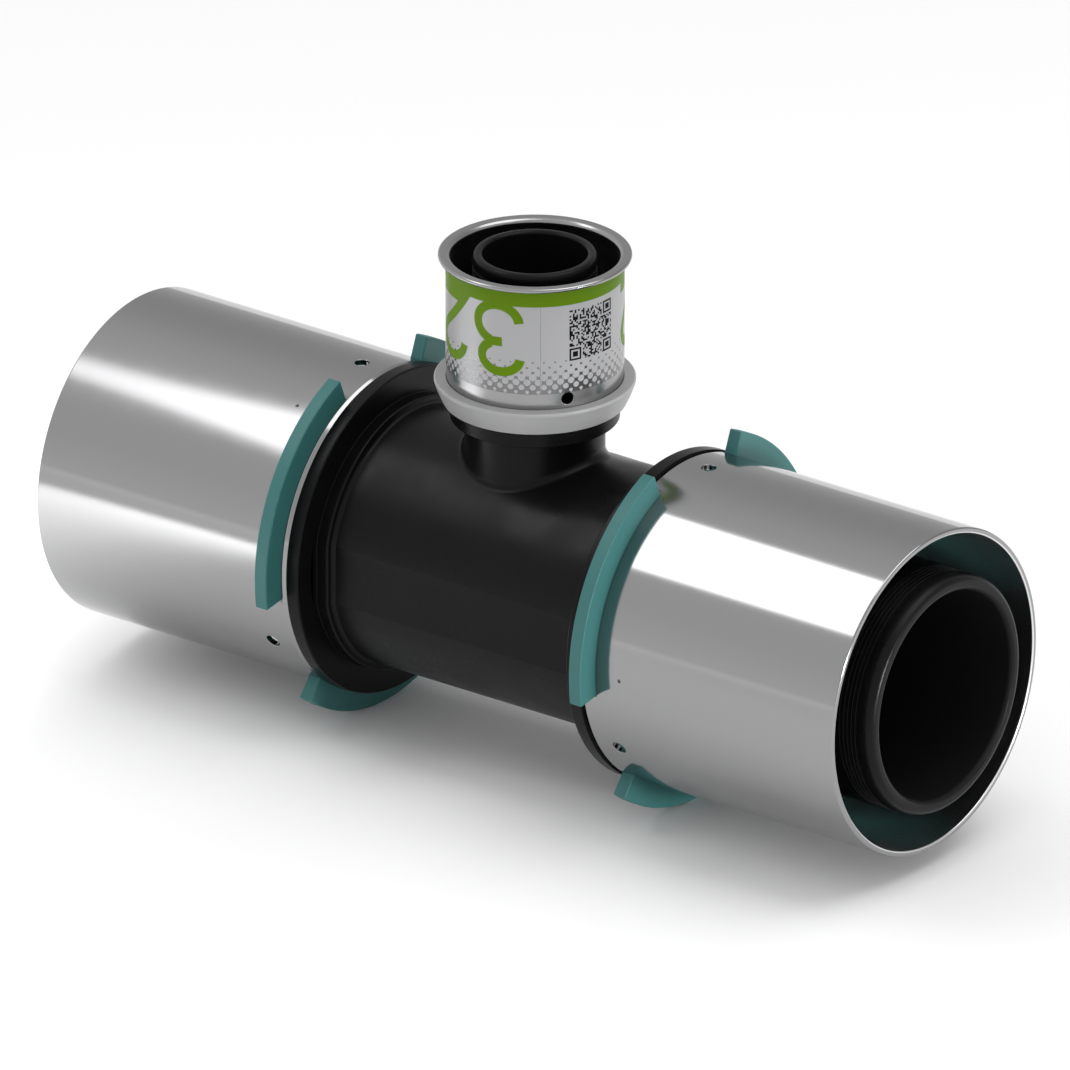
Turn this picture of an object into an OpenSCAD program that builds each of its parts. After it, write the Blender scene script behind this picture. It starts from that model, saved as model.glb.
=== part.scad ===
// Reducing press tee: a moulded tee body with three pipe inserts, O-rings, steel press
// sleeves, plastic stop rings and a printed film on the branch sleeve.
// The run lies along X, the branch points up along +Z, and the origin is where their axes cross.

/* [Barrel] */
// Length of the barrel between the two flanges
barrel_length = 68.2; // [64:0.2:76]
// Outer diameter of the barrel
barrel_d = 54.6; // [52:0.2:56]
// Diameter of the waterway along the run
run_bore_d = 43.8; // [40:0.2:44.4]
// Height of the flat band along the front of the barrel
band_height = 12.6; // [8:0.2:16]
// Width of the shoulder beside each flange
shoulder_width = 2.8; // [2:0.1:4]
// Height of the shoulder above the barrel
shoulder_rise = 1.5; // [1:0.1:2]
// Height of each run flange above the sleeve that butts against it
flange_rise = 0.2; // [0.1:0.05:0.6]
// Thickness of each run flange
flange_width = 3.0; // [2:0.1:5]

/* [Run insert] */
// Outer diameter of the insert that the run pipe slides over
run_insert_d = 50.4; // [49.4:0.2:51.2]
// Distance that the insert stands out past the mouth of its sleeve
run_nose = 3.1; // [2.2:0.1:5]
// Length of the rounded nose of the run insert
run_nose_round = 3.1; // [1.6:0.1:4]
// Depth that the pipe slides in over the run insert
run_socket_depth = 58.2; // [50:0.2:66]

/* [Run press sleeve] */
// Outer diameter of the run press sleeve
run_sleeve_d = 68.4; // [68:0.1:68.8]
// Wall of the run press sleeve
run_sleeve_wall = 1.25; // [1:0.05:1.5]
// Diameter of the sight holes in the run sleeve
run_sight_d = 3.1; // [2:0.1:3.6]
// Distance from the pipe stop to the middle of the run sight holes
run_sight_offset = 1.1; // [1:0.1:4]
// Diameter of the small punch marks in the run sleeve
punch_d = 0.8; // [0.5:0.1:1.2]
// Depth of the small punch marks
punch_depth = 0.4; // [0.2:0.05:0.6]
// Distance from the pipe stop to the punch marks
punch_offset = 4.5; // [3.5:0.1:8]

/* [Run stop ring] */
// Number of lugs on each run stop ring, and of windows and sight holes in its sleeve
lug_count = 3; // [2:1:4]
// Width of the lugs along the run
lug_width = 3.0; // [2:0.1:3.6]
// Height of the lugs above the sleeve
lug_rise = 5.0; // [3:0.1:7]
// Angle that each lug spans
lug_span = 77; // [50:1:80]
// Width of the hoop that carries the lugs
hoop_width = 3.4; // [3:0.1:4.2]
// Width of the strip of sleeve between the windows and the flange
window_strip = 1.3; // [1:0.1:2]
// Depth of the groove in the body that holds the hoop
hoop_groove_depth = 3.6; // [2:0.1:4]
// Height of the bead that keeps the hoop in its groove
bead_rise = 1.0; // [0.6:0.1:1.6]
// Width of the bead that keeps the hoop in its groove
bead_width = 1.2; // [1:0.1:2]

/* [Branch body] */
// Outer diameter of the neck between barrel and collar
neck_d = 28.5; // [27:0.1:30]
// Radius of the fillet where the neck meets the barrel
neck_fillet = 2.0; // [1:0.1:3]
// Height of the underside of the collar above the run axis
collar_height = 34.2; // [33.4:0.1:38]
// Thickness of the collar
collar_width = 3.8; // [3:0.1:6]
// Outer diameter of the collar
collar_d = 34.4; // [34.2:0.1:35]
// Diameter of the waterway in the branch
branch_bore_d = 21.2; // [19:0.1:21.6]
// Outer diameter of the insert that the branch pipe slides over
branch_insert_d = 25.4; // [25:0.1:25.8]
// Depth that the pipe slides in over the branch insert
branch_socket_depth = 26.4; // [24:0.2:32]
// Length of the rounded nose of the branch insert
branch_nose_round = 1.8; // [1:0.1:2.4]

/* [Branch press sleeve] */
// Outer diameter of the branch press sleeve
branch_sleeve_d = 35.86; // [35.6:0.02:36.4]
// Wall of the branch press sleeve
branch_sleeve_wall = 0.9; // [0.7:0.05:1.1]
// Outer diameter of the flared mouth
flare_d = 39.3; // [38:0.1:41]
// Thickness of the flared mouth
flare_width = 1.0; // [0.8:0.05:1.4]
// Diameter of the sight holes in the branch sleeve
branch_sight_d = 2.6; // [2:0.1:3]
// Distance from the pipe stop to the middle of the branch sight holes
branch_sight_offset = 1.4; // [1.3:0.1:2]
// Number of sight holes in the branch sleeve
branch_sight_count = 3; // [2:1:4]
// Direction of the first branch sight hole, from the front towards +X
branch_sight_turn = 59; // [50:1:70]
// Depth that the foot of the sleeve is rolled into the body
foot_roll = 0.7; // [0.4:0.05:0.9]

/* [Branch stop ring] */
// Height of the branch stop ring
ring_height = 5.2; // [4.4:0.1:5.6]
// Outer diameter of the branch stop ring at its foot
ring_foot_d = 37.2; // [36.8:0.1:38]
// Outer diameter of the branch stop ring at its top
ring_top_d = 40.9; // [39.5:0.1:42]
// Thickness of the lip under the branch sleeve
ring_lip = 0.6; // [0.4:0.05:0.9]
// Depth that the ring laps over the side of the collar
ring_lap = 0.2; // [0.1:0.05:0.6]

/* [Marking film] */
// Thickness of the printed film
film_wall = 0.15; // [0.1:0.01:0.25]
// Height of the bare strip of sleeve under the film
film_foot = 1.4; // [1.3:0.1:3]
// Height of the bare strip of sleeve above the film
film_head = 0.4; // [0.4:0.1:2]
// Width of the seam where the ends of the film meet
film_seam = 0.2; // [0.1:0.05:0.6]
// Direction of the seam, from the front towards +X
film_seam_turn = 41; // [30:1:50]

/* [O-rings] */
// Cord thickness of the run O-rings
run_o_ring = 2.2; // [1.8:0.1:2.4]
// Cord thickness of the branch O-rings
branch_o_ring = 1.3; // [1:0.05:1.4]
// Height that an O-ring stands above its insert
o_ring_proud = 0.18; // [0.1:0.01:0.2]
// Distance from the mouth of the run sleeve to the outer run O-ring
run_o_ring_inset = 16; // [12:0.5:20]
// Distance between the two O-rings on a run insert
run_o_ring_pitch = 16; // [8:0.5:20]
// Distance from the mouth of the branch sleeve to the upper branch O-ring
branch_o_ring_inset = 8; // [7:0.25:9]
// Distance between the two O-rings on the branch insert
branch_o_ring_pitch = 7; // [5:0.25:8]

/* [Grip ribs] */
// Number of fine grip ribs behind each nose
rib_count = 5; // [2:1:6]
// Distance between grip ribs
rib_pitch = 1.0; // [0.8:0.05:1.1]
// Depth of the grooves between the ribs
rib_depth = 0.5; // [0.2:0.05:0.7]

/* [Clearances] */
// Gap between a sleeve and the seat that it slides over
seat_gap = 0.1; // [0.05:0.01:0.2]
// Gap between a lug and the edge of its window
window_gap = 0.1; // [0.05:0.01:0.2]
// Gap between an O-ring and the floor of its groove
o_ring_gap = 0.03; // [0.01:0.01:0.06]
// Gap between each side of an O-ring and its groove
o_ring_side_gap = 0.2; // [0.1:0.05:0.4]
// Gap between the branch stop ring and what it surrounds
ring_gap = 0.05; // [0.03:0.01:0.1]

/* [Hidden] */
$fn = 96;

// Steps in a rounded corner, and how far one shape is sunk into another so that they join
corner_steps = 6;
sink = 0.5;

// Barrel, shoulder and flange, as radii and as distances from the middle along the run
barrel_r = barrel_d / 2;
flange_in = barrel_length / 2;
flange_out = flange_in + flange_width;
shoulder_in = flange_in - shoulder_width;
shoulder_r = barrel_r + shoulder_rise;
shoulder_round = 0.5;
shoulder_fillet = shoulder_rise - shoulder_round;
flange_r = run_sleeve_d / 2 + flange_rise;
flange_round = 0.4;
// The flat band is a chord of the barrel, and the shoulder has one beside it
band_depth = barrel_r - sqrt(pow(barrel_r, 2) - pow(band_height / 2, 2));

// Run sleeve, hoop and lugs
run_sleeve_r = run_sleeve_d / 2;
run_sleeve_in_r = run_sleeve_r - run_sleeve_wall;
run_seat_r = run_sleeve_in_r - seat_gap;
window_in = flange_out + window_strip;
lug_in = window_in + window_gap;
window_width = lug_width + 2 * window_gap;
window_span = lug_span + 2 * atan(window_gap / run_sleeve_r);
hoop_in = lug_in - (hoop_width - lug_width) / 2;
hoop_groove_in = hoop_in - window_gap;
hoop_groove_width = hoop_width + 2 * window_gap;
hoop_groove_r = run_seat_r - hoop_groove_depth;
run_stop = hoop_groove_in + hoop_groove_width + bead_width;
run_mouth = run_stop + run_socket_depth;
run_sight = run_stop + run_sight_offset;
run_punch = run_stop + punch_offset;
lug_r = run_sleeve_r + lug_rise;
lug_step = 360 / lug_count;
lug_turn = 60;
right_mark_turn = 90;
left_mark_turn = 30;

// Run insert
run_insert_r = run_insert_d / 2;
run_bore_r = run_bore_d / 2;
run_tip = run_mouth + run_nose;
run_o_rings = [run_mouth - run_o_ring_inset, run_mouth - run_o_ring_inset - run_o_ring_pitch];

// Branch body
neck_r = neck_d / 2;
collar_r = collar_d / 2;
collar_top = collar_height + collar_width;
collar_fillet = 1.2;
collar_round = 0.3;
branch_insert_r = branch_insert_d / 2;
branch_bore_r = branch_bore_d / 2;

// Branch sleeve, with its foot rolled into a groove of the seat above the collar
branch_sleeve_r = branch_sleeve_d / 2;
branch_sleeve_in_r = branch_sleeve_r - branch_sleeve_wall;
branch_seat_r = branch_sleeve_in_r - seat_gap;
sleeve_foot = collar_top + ring_lip;
foot_groove_r = branch_seat_r - foot_roll - seat_gap;
foot_groove_top = sleeve_foot + branch_sleeve_wall + seat_gap;
branch_seat_height = 4.0;
branch_stop = foot_groove_top + branch_seat_height;
branch_mouth = branch_stop + branch_socket_depth;
branch_sight = branch_stop + branch_sight_offset;
branch_o_rings = [branch_mouth - branch_o_ring_inset, branch_mouth - branch_o_ring_inset - branch_o_ring_pitch];
flare_r = flare_d / 2;

// Branch stop ring
ring_foot = collar_top - ring_lap;
ring_top = ring_foot + ring_height;
ring_in_r = branch_sleeve_r + ring_gap;
ring_lip_r = branch_seat_r + ring_gap;
ring_lap_r = collar_r + ring_gap;

// Film on the branch sleeve
film_bottom = branch_sight + film_foot;
film_top = branch_mouth - flare_width - film_head;

// A rounded corner as points, from angle a to angle b about its centre
function arc(cx, cy, r, a, b, steps = corner_steps) =
    [for (i = [0:steps]) [cx + r * cos(a + (b - a) * i / steps), cy + r * sin(a + (b - a) * i / steps)]];

// Points on a curve that leaves a towards b and arrives at c
function bend(a, b, c, steps = corner_steps) =
    [for (i = [0:steps]) let (u = i / steps) a * pow(1 - u, 2) + 2 * b * u * (1 - u) + c * pow(u, 2)];

// Turns a shape made about Z to lie about X
module along_run() {
    rotate([0, 90, 0]) children();
}

// Copies of a shape round the run, from the top towards the front
module round_run(count, turn) {
    for (i = [0:count - 1]) rotate([turn + i * 360 / count, 0, 0]) children();
}

// Outline of an insert in radius and height: a root, a straight land and a rounded nose,
// with grooves for the O-rings and fine ribs behind the nose
module insert_outline(r, bore, stop, mouth, tip, nose_round, cord, rings) {
    nose_in = tip - nose_round;
    tip_round = 0.5;
    nose_slope = (r - bore) * 0.3;
    floor_r = r + o_ring_proud - cord - o_ring_gap;
    groove = cord + 2 * o_ring_side_gap;
    difference() {
        polygon(concat(
            [[bore - sink, stop - sink], [r, stop - sink]],
            bend([r, nose_in], [r, tip - tip_round], [r - nose_slope, tip - tip_round]),
            arc(r - nose_slope - tip_round, tip - tip_round, tip_round, 0, 90),
            arc(bore + tip_round, tip - tip_round, tip_round, 90, 180),
            [[bore - sink, tip - tip_round]]
        ));
        for (z = rings) translate([floor_r, z - groove / 2]) square([cord + sink, groove]);
        for (i = [0:rib_count - 1])
            translate([r - rib_depth, nose_in - (i + 1) * rib_pitch])
                square([rib_depth + sink, rib_pitch / 2]);
    }
}

// One half of the run body: barrel, shoulder, flange and the seat of the sleeve
module run_body_outline() {
    polygon(concat(
        [[0, 0], [barrel_r, 0]],
        arc(barrel_r + shoulder_fillet, shoulder_in - shoulder_fillet, shoulder_fillet, 180, 90),
        arc(shoulder_r - shoulder_round, shoulder_in + shoulder_round, shoulder_round, -90, 0),
        [[shoulder_r, flange_in]],
        arc(flange_r - flange_round, flange_in + flange_round, flange_round, -90, 0),
        [
            [flange_r, flange_out], [run_seat_r, flange_out], [run_seat_r, hoop_groove_in],
            [hoop_groove_r, hoop_groove_in], [hoop_groove_r, hoop_groove_in + hoop_groove_width],
            [hoop_groove_r + bead_rise, hoop_groove_in + hoop_groove_width],
            [hoop_groove_r + bead_rise, run_stop - bead_width / 2],
            [hoop_groove_r + bead_rise / 2, run_stop], [0, run_stop]
        ]
    ));
}

// What is cut off the front of the body to leave the flat band, with a step at each shoulder
module band_cut() {
    band_y = barrel_r - band_depth;
    facet_y = shoulder_r - band_depth;
    out_y = flange_r;
    half = concat(
        [[0, band_y]],
        arc(shoulder_in - shoulder_fillet, band_y + shoulder_fillet, shoulder_fillet, -90, 0),
        arc(shoulder_in + shoulder_round, facet_y - shoulder_round, shoulder_round, 180, 90),
        [[flange_in, facet_y], [flange_in, out_y], [0, out_y]]
    );
    linear_extrude(height = band_height * 1.5, center = true)
        for (side = [0, 1]) mirror([side, 0]) mirror([0, 1]) polygon(half);
}

// The fillet between neck and barrel is the path of a ball that rolls round the neck and
// touches both. At each turn t it is an arc about the ball's centre. Its two edges are sunk
// a little below the surfaces, so that it crosses them at a clear angle.
fillet_turns = 40;
fillet_steps = 4;
fillet_sunk = 0.06;
ball_out = neck_r + neck_fillet - fillet_sunk;
ball_up = barrel_r + neck_fillet - fillet_sunk;

function ball_centre(t) =
    [ball_out * cos(t), ball_out * sin(t), sqrt(pow(ball_up, 2) - pow(ball_out * sin(t), 2))];

function fillet_section(t) =
    let (
        c = ball_centre(t),
        to_neck = [-cos(t), -sin(t), 0],
        to_barrel = [0, -c[1], -c[2]] / ball_up,
        turn = acos(to_neck * to_barrel),
        inner = neck_r - sink
    )
    concat(
        [[inner * cos(t), inner * sin(t), c[2]]],
        [for (i = [0:fillet_steps]) let (u = i / fillet_steps)
            c + neck_fillet * (sin((1 - u) * turn) * to_neck + sin(u * turn) * to_barrel) / sin(turn)],
        [c + (neck_fillet + 2 * sink) * to_barrel],
        [[inner * cos(t), inner * sin(t), c[2] - neck_fillet - 2 * sink]]
    );

module neck_fillet_ring() {
    n = fillet_steps + 4;
    points = [for (k = [0:fillet_turns - 1]) each fillet_section(k * 360 / fillet_turns)];
    faces = [
        for (k = [0:fillet_turns - 1]) for (i = [0:n - 1])
            let (a = k * n + i, b = k * n + (i + 1) % n, c = ((k + 1) % fillet_turns) * n)
            each [[a, c + i, b], [b, c + i, c + (i + 1) % n]]
    ];
    polyhedron(points, faces, convexity = 4);
}

// Neck, collar and the seat of the branch sleeve, in radius and height
module branch_body_outline() {
    polygon(concat(
        [[0, 0], [neck_r, 0]],
        arc(neck_r + collar_fillet, collar_height - collar_fillet, collar_fillet, 180, 90),
        arc(collar_r - collar_round, collar_height + collar_round, collar_round, -90, 0),
        [
            [collar_r, collar_top], [branch_seat_r, collar_top], [branch_seat_r, sleeve_foot - seat_gap],
            [foot_groove_r, sleeve_foot - seat_gap], [foot_groove_r, foot_groove_top],
            [branch_seat_r, foot_groove_top], [branch_seat_r, branch_stop], [0, branch_stop]
        ]
    ));
}

module tee_body() {
    color([0.07, 0.07, 0.08])
        difference() {
            union() {
                for (side = [0, 1]) mirror([side, 0, 0]) along_run() {
                    rotate_extrude() run_body_outline();
                    rotate_extrude()
                        insert_outline(
                            run_insert_r, run_bore_r, run_stop, run_mouth, run_tip, run_nose_round,
                            run_o_ring, run_o_rings
                        );
                }
                rotate_extrude() branch_body_outline();
                rotate_extrude()
                    insert_outline(
                        branch_insert_r, branch_bore_r, branch_stop, branch_mouth, branch_mouth,
                        branch_nose_round, branch_o_ring, branch_o_rings
                    );
                neck_fillet_ring();
            }
            band_cut();
            along_run() cylinder(r = run_bore_r, h = 2 * run_tip + 2 * sink, center = true);
            cylinder(r = branch_bore_r, h = branch_mouth + sink);
        }
}

// Run press sleeve on the +X side, with windows for the lugs, sight holes and punch marks
module run_sleeve(mark_turn) {
    edge = 0.4;
    difference() {
        along_run() rotate_extrude()
            polygon(concat(
                [[run_sleeve_in_r, flange_out], [run_sleeve_r, flange_out]],
                arc(run_sleeve_r - edge, run_mouth - edge, edge, 0, 90),
                arc(run_sleeve_in_r + edge, run_mouth - edge, edge, 90, 180)
            ));
        round_run(lug_count, lug_turn)
            sector(run_sleeve_in_r - sink, run_sleeve_r + sink, window_in, window_width, window_span);
        round_run(lug_count, 0)
            translate([run_sight, 0, run_sleeve_in_r - sink])
                cylinder(d = run_sight_d, h = run_sleeve_wall + 2 * sink);
        round_run(lug_count, mark_turn)
            translate([run_punch, 0, run_sleeve_r - punch_depth])
                cylinder(d = punch_d, h = punch_depth + sink);
    }
}

// A block bent round the run, centred at the top, from one radius and place to another
module sector(r_in, r_out, start, width, span) {
    along_run() rotate([0, 0, 180 - span / 2]) rotate_extrude(angle = span)
        translate([r_in, start]) square([r_out - r_in, width]);
}

module run_sleeve_right() {
    color([0.72, 0.72, 0.73]) run_sleeve(right_mark_turn);
}

module run_sleeve_left() {
    color([0.72, 0.72, 0.73]) mirror([1, 0, 0]) run_sleeve(left_mark_turn);
}

// Run stop ring on the +X side: a hoop inside the sleeve and lugs through its windows
module run_stop_ring() {
    difference() {
        union() {
            along_run() translate([0, 0, hoop_in]) cylinder(r = run_seat_r, h = hoop_width);
            round_run(lug_count, lug_turn)
                sector(run_seat_r - sink, lug_r, lug_in, lug_width, lug_span);
        }
        along_run() translate([0, 0, hoop_in - sink])
            cylinder(r = hoop_groove_r + seat_gap, h = hoop_width + 2 * sink);
    }
}

module run_stop_ring_right() {
    color([0.26, 0.52, 0.5]) run_stop_ring();
}

module run_stop_ring_left() {
    color([0.26, 0.52, 0.5]) mirror([1, 0, 0]) run_stop_ring();
}

// An O-ring about Z, stretched into its groove on an insert
module o_ring(insert_r, cord, height) {
    color([0.03, 0.03, 0.03])
        translate([0, 0, height]) rotate_extrude()
            translate([insert_r + o_ring_proud - cord / 2, 0]) circle(d = cord);
}

module run_o_ring_at(place) {
    along_run() o_ring(run_insert_r, run_o_ring, place);
}

module run_o_ring_right_outer() {
    run_o_ring_at(run_o_rings[0]);
}

module run_o_ring_right_inner() {
    run_o_ring_at(run_o_rings[1]);
}

module run_o_ring_left_outer() {
    run_o_ring_at(-run_o_rings[0]);
}

module run_o_ring_left_inner() {
    run_o_ring_at(-run_o_rings[1]);
}

module branch_o_ring_upper() {
    o_ring(branch_insert_r, branch_o_ring, branch_o_rings[0]);
}

module branch_o_ring_lower() {
    o_ring(branch_insert_r, branch_o_ring, branch_o_rings[1]);
}

// Branch press sleeve: foot rolled inwards, straight wall and a flat flared mouth
module branch_sleeve() {
    edge = 0.3;
    neck = 0.4;
    roll_r = branch_sleeve_in_r - foot_roll;
    foot_round = 0.5;
    flare_in = branch_mouth - flare_width;
    color([0.75, 0.75, 0.76])
        difference() {
            rotate_extrude()
                polygon(concat(
                    [[roll_r, sleeve_foot + branch_sleeve_wall], [roll_r, sleeve_foot]],
                    arc(branch_sleeve_r - foot_round, sleeve_foot + foot_round, foot_round, -90, 0),
                    arc(branch_sleeve_r + neck, flare_in - neck, neck, 180, 90),
                    arc(flare_r - flare_width / 2, flare_in + flare_width / 2, flare_width / 2, -90, 90),
                    arc(branch_sleeve_in_r + edge, branch_mouth - edge, edge, 90, 180),
                    [[branch_sleeve_in_r, sleeve_foot + branch_sleeve_wall]]
                ));
            for (i = [0:branch_sight_count - 1])
                rotate([0, 0, branch_sight_turn - 90 + i * 360 / branch_sight_count])
                    translate([branch_sleeve_in_r - sink, 0, branch_sight])
                        rotate([0, 90, 0]) cylinder(d = branch_sight_d, h = branch_sleeve_wall + 2 * sink);
        }
}

// Branch stop ring: a bowl-shaped ring with a lip under the foot of the sleeve
module branch_stop_ring() {
    top_round = 0.5;
    foot_r = ring_foot_d / 2;
    top_r = ring_top_d / 2;
    belly = [foot_r + (top_r - foot_r) * 0.55, ring_foot + ring_height * 0.42];
    color([0.83, 0.84, 0.85])
        rotate_extrude()
            polygon(concat(
                [[ring_lap_r, ring_foot]],
                bend([foot_r, ring_foot], belly, [top_r, ring_top - 2 * top_round]),
                bend([top_r, ring_top - 2 * top_round], [top_r, ring_top], [top_r - top_round, ring_top]),
                [
                    [ring_in_r, ring_top], [ring_in_r, sleeve_foot], [ring_lip_r, sleeve_foot],
                    [ring_lip_r, collar_top], [ring_lap_r, collar_top]
                ]
            ));
}

// Marking film: a thin band wrapped once round the branch sleeve, with a butt seam
module marking_film() {
    color([0.7, 0.72, 0.7])
        difference() {
            translate([0, 0, film_bottom])
                cylinder(r = branch_sleeve_r + film_wall, h = film_top - film_bottom);
            translate([0, 0, film_bottom - sink])
                cylinder(r = branch_sleeve_r, h = film_top - film_bottom + 2 * sink);
            rotate([0, 0, film_seam_turn - 90])
                translate([branch_sleeve_in_r, -film_seam / 2, film_bottom - sink])
                    cube([2 * branch_sleeve_wall, film_seam, film_top - film_bottom + 2 * sink]);
        }
}

tee_body();
run_sleeve_left();
run_sleeve_right();
run_stop_ring_left();
run_stop_ring_right();
run_o_ring_left_inner();
run_o_ring_left_outer();
run_o_ring_right_inner();
run_o_ring_right_outer();
branch_sleeve();
branch_stop_ring();
branch_o_ring_lower();
branch_o_ring_upper();
marking_film();
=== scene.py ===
"""Looks of a reducing press tee: moulded tee body, steel press sleeves, stop rings, O-rings and
a printed film on the branch sleeve. The run lies along X, the branch points up along +Z.
"""

import bpy
import numpy as np
from mathutils import Matrix


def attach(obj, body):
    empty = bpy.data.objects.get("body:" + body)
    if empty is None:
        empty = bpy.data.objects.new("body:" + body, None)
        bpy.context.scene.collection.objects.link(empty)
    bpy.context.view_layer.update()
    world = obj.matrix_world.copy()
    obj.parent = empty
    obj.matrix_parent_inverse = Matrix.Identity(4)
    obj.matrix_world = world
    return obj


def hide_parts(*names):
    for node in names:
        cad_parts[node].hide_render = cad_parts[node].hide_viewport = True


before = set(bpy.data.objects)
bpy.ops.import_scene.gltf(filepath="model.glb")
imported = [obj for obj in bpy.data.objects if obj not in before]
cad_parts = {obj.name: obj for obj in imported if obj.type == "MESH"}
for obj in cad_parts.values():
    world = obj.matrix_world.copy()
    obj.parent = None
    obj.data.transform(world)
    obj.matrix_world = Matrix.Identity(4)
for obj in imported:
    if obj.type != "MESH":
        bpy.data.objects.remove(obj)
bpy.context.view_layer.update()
scene = bpy.context.scene
scene.view_settings.view_transform = "Standard"

# Camera.
# It stands far off in front, to the right and above, so that the view is almost parallel, and
# looks at a point just above the middle of the run.
mm = 0.001
turn, lift = np.radians(37.49), np.radians(23.455)
view_width, aim_height = 216.4 * mm, 7.12 * mm
lens, sensor, sees_to = 1500.0, 36.0, 100.0


def standing(right, up, back, place):
    """The matrix of a camera or lamp that stands at a place with these three axes."""
    rows = [[*row, at] for row, at in zip(np.stack([right, up, back], 1), place)]
    return Matrix(rows + [[0, 0, 0, 1]])


back = np.array([np.sin(turn) * np.cos(lift), -np.cos(turn) * np.cos(lift), np.sin(lift)])
right = np.array([np.cos(turn), np.sin(turn), 0.0])
up = np.cross(back, right)
camera = bpy.data.objects.new("camera", bpy.data.cameras.new("camera"))
scene.collection.objects.link(camera)
camera.data.lens, camera.data.sensor_width, camera.data.clip_end = lens, sensor, sees_to
camera.matrix_world = standing(right, up, back, up * aim_height + back * view_width * lens / sensor)
scene.camera = camera

# Floor and light.
# A plain white table top that the tee stands on with its lowest lugs, in a pale grey studio with
# two soft boxes overhead and two small lamps. Far from the tee the table top is lit evenly.
lowest_lug, floor_half = -39.2 * mm, 3.0
glow_from, glow_to, far_glow = 0.35, 1.3, 0.42


def studio_material(name, roughness, **sockets):
    """A plain material with the named shader sockets set on the shader itself."""
    material = bpy.data.materials.new(name)
    material.use_nodes = True
    shader = material.node_tree.nodes["Principled BSDF"]
    shader.inputs["Roughness"].default_value = roughness
    for socket, value in sockets.items():
        shader.inputs[socket.replace("_", " ")].default_value = value
    return material, material.node_tree, shader


def maths(tree, operation, *values, clamp=False):
    """A Math node whose inputs are numbers or other nodes' outputs."""
    node = tree.nodes.new("ShaderNodeMath")
    node.operation, node.use_clamp = operation, clamp
    for socket, value in zip(node.inputs, values):
        if isinstance(value, (int, float)):
            socket.default_value = value
        else:
            tree.links.new(value, socket)
    return node.outputs[0]


def ranged(tree, value, low, high, to_low, to_high, smooth=True):
    """A Map Range node from low..high to to_low..to_high."""
    node = tree.nodes.new("ShaderNodeMapRange")
    node.interpolation_type = "SMOOTHSTEP" if smooth else "LINEAR"
    for socket, number in zip(list(node.inputs)[1:5], (low, high, to_low, to_high)):
        socket.default_value = number
    tree.links.new(value, node.inputs[0])
    return node.outputs[0]


def split(tree, vector):
    """The three parts of a vector."""
    node = tree.nodes.new("ShaderNodeSeparateXYZ")
    tree.links.new(vector, node.inputs[0])
    return list(node.outputs)


floor_mesh = bpy.data.meshes.new("floor")
floor_mesh.from_pydata(
    [(x * floor_half, y * floor_half, lowest_lug) for x, y in ((-1, -1), (1, -1), (1, 1), (-1, 1))],
    [], [(0, 1, 2, 3)],
)
floor = bpy.data.objects.new("floor", floor_mesh)
scene.collection.objects.link(floor)
floor_white, floor_tree, floor_shader = studio_material(
    "floor_white", 1.0, Specular_IOR_Level=0.0, Base_Color=(0.98, 0.98, 0.98, 1), Emission_Color=(1, 1, 1, 1)
)
from_middle = floor_tree.nodes.new("ShaderNodeVectorMath")
from_middle.operation = "LENGTH"
floor_tree.links.new(floor_tree.nodes.new("ShaderNodeTexCoord").outputs["Object"], from_middle.inputs[0])
far_light = ranged(floor_tree, from_middle.outputs["Value"], glow_from, glow_to, 0.0, far_glow)
floor_tree.links.new(far_light, floor_shader.inputs["Emission Strength"])
floor_mesh.materials.append(floor_white)

# The studio is darker behind the tee and to its right, and paler just above the horizon
world = bpy.data.worlds.new("studio")
scene.world = world
world.use_nodes = True
sky = world.node_tree
to_x, to_y, to_z = split(sky, sky.nodes.new("ShaderNodeTexCoord").outputs["Generated"])
to_back = ranged(sky, to_y, low=0.1, high=0.85, to_low=0.83, to_high=0.53)
to_right = ranged(sky, to_x, low=-0.2, high=0.7, to_low=1.0, to_high=0.8)
to_horizon = ranged(sky, to_z, low=0.0, high=0.4, to_low=1.12, to_high=1.0)
level = maths(sky, "MULTIPLY", maths(sky, "MULTIPLY", to_back, to_right), to_horizon)
sky.links.new(level, sky.nodes["Background"].inputs["Strength"])
sky.nodes["Background"].inputs["Color"].default_value = (1, 1, 1, 1)


def soft_box(name, place, size, radiance, turned_by=0.0):
    """A flat lamp that faces down. Its power is radiance times pi times its area."""
    lamp = bpy.data.lights.new(name, "AREA")
    lamp.shape = "RECTANGLE"
    lamp.size, lamp.size_y = size
    lamp.energy = radiance * np.pi * size[0] * size[1]
    holder = bpy.data.objects.new(name, lamp)
    scene.collection.objects.link(holder)
    holder.matrix_world = Matrix.Translation(place) @ Matrix.Rotation(np.radians(turned_by), 4, "Z")
    return lamp


# The run sleeves mirror this long box as a white stripe. Its left end is narrower and fades.
long_box = soft_box(
    "long_soft_box", place=(-0.484, -0.2825, 0.7), size=(0.27, 0.652), radiance=3.4, turned_by=-13
)
long_box.use_nodes = True
box = long_box.node_tree
along, over, _ = split(box, box.nodes.new("ShaderNodeNewGeometry").outputs["Parametric"])
across = maths(box, "ABSOLUTE", maths(box, "SUBTRACT", over, 0.5))
half_width = ranged(box, along, low=0.1, high=0.4, to_low=0.24, to_high=0.52)
softness = ranged(box, along, low=0.1, high=0.45, to_low=0.2, to_high=0.015)
fading = ranged(box, along, low=0.1, high=0.4, to_low=0.62, to_high=1.0)
inside = maths(box, "DIVIDE", maths(box, "SUBTRACT", half_width, across), softness, clamp=True)
box.links.new(maths(box, "MULTIPLY", inside, fading), box.nodes["Emission"].inputs["Strength"])

# The main light comes from above on the right, out of sight of the sleeves
soft_box("main_soft_box", place=(0.34, 0.14, 0.7), size=(0.6, 0.6), radiance=2.25)


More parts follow.
